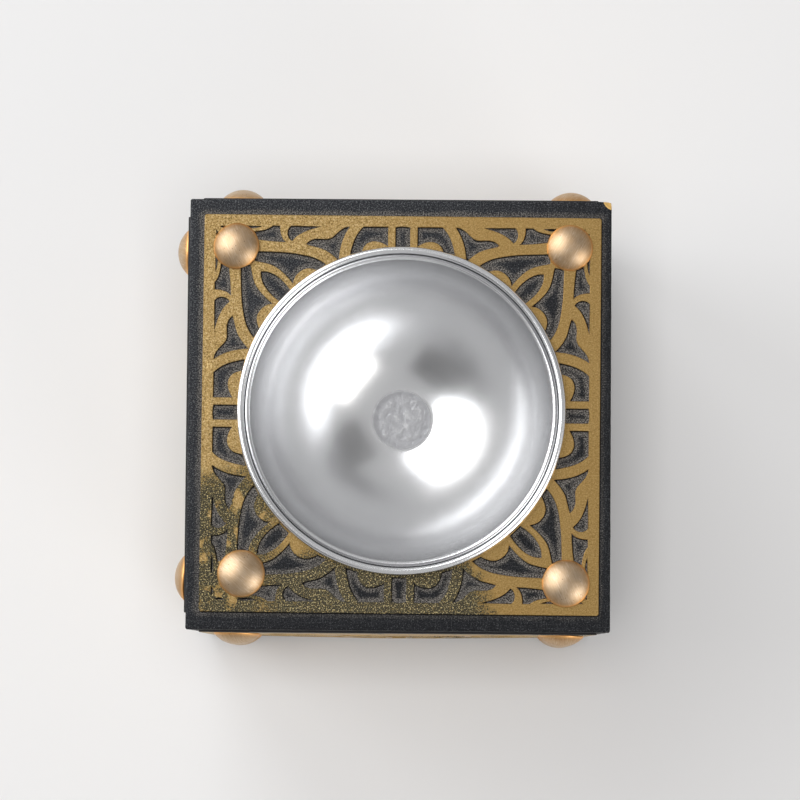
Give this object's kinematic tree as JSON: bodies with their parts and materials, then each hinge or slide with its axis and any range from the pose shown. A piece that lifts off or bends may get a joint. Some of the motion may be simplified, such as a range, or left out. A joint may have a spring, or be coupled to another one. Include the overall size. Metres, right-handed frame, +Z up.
{
  "type": "votive candle holder",
  "caption": "Black wooden cube with nailed-on pierced brass plates and a lift-out spun metal bowl in its top for a votive candle.",
  "frame": {"origin": "middle of the flat underside of the wooden box", "axes": "+X to the right, towards the side with no plate; +Y to the back; +Z up, out of the bowl's mouth"},
  "size_m": [0.1033, 0.1086, 0.1033],
  "materials": {
    "black_wood": "satin black paint over fine-grained wood",
    "pierced_brass": "aged ochre gold with green-black tarnish",
    "nail_brass": "brushed satin copper-gold",
    "spun_aluminium": "satin spun metal with a bright rolled rim"
  },
  "bodies": {
    "box": {"top_board": "black_wood", "bottom_board": "black_wood", "front_board": "black_wood", "back_board": "black_wood", "left_board": "black_wood", "right_board": "black_wood", "top_plate": "pierced_brass", "front_plate": "pierced_brass", "back_plate": "pierced_brass", "left_plate": "pierced_brass", "top_nail_back_left": "nail_brass", "top_nail_back_right": "nail_brass", "top_nail_front_right": "nail_brass", "top_nail_front_left": "nail_brass", "front_nail_upper_left": "nail_brass", "front_nail_upper_right": "nail_brass", "front_nail_lower_right": "nail_brass", "front_nail_lower_left": "nail_brass", "back_nail_upper_left": "nail_brass", "back_nail_upper_right": "nail_brass", "back_nail_lower_right": "nail_brass", "back_nail_lower_left": "nail_brass", "left_nail_upper_left": "nail_brass", "left_nail_upper_right": "nail_brass", "left_nail_lower_right": "nail_brass", "left_nail_lower_left": "nail_brass"},
    "bowl": {"bowl": "spun_aluminium"}
  },
  "joints": [
    {"name": "bowl_lift", "type": "slide", "parent": "box", "child": "bowl", "axis": [0, 0, 1], "range_m": [0, 0.06]}
  ]
}
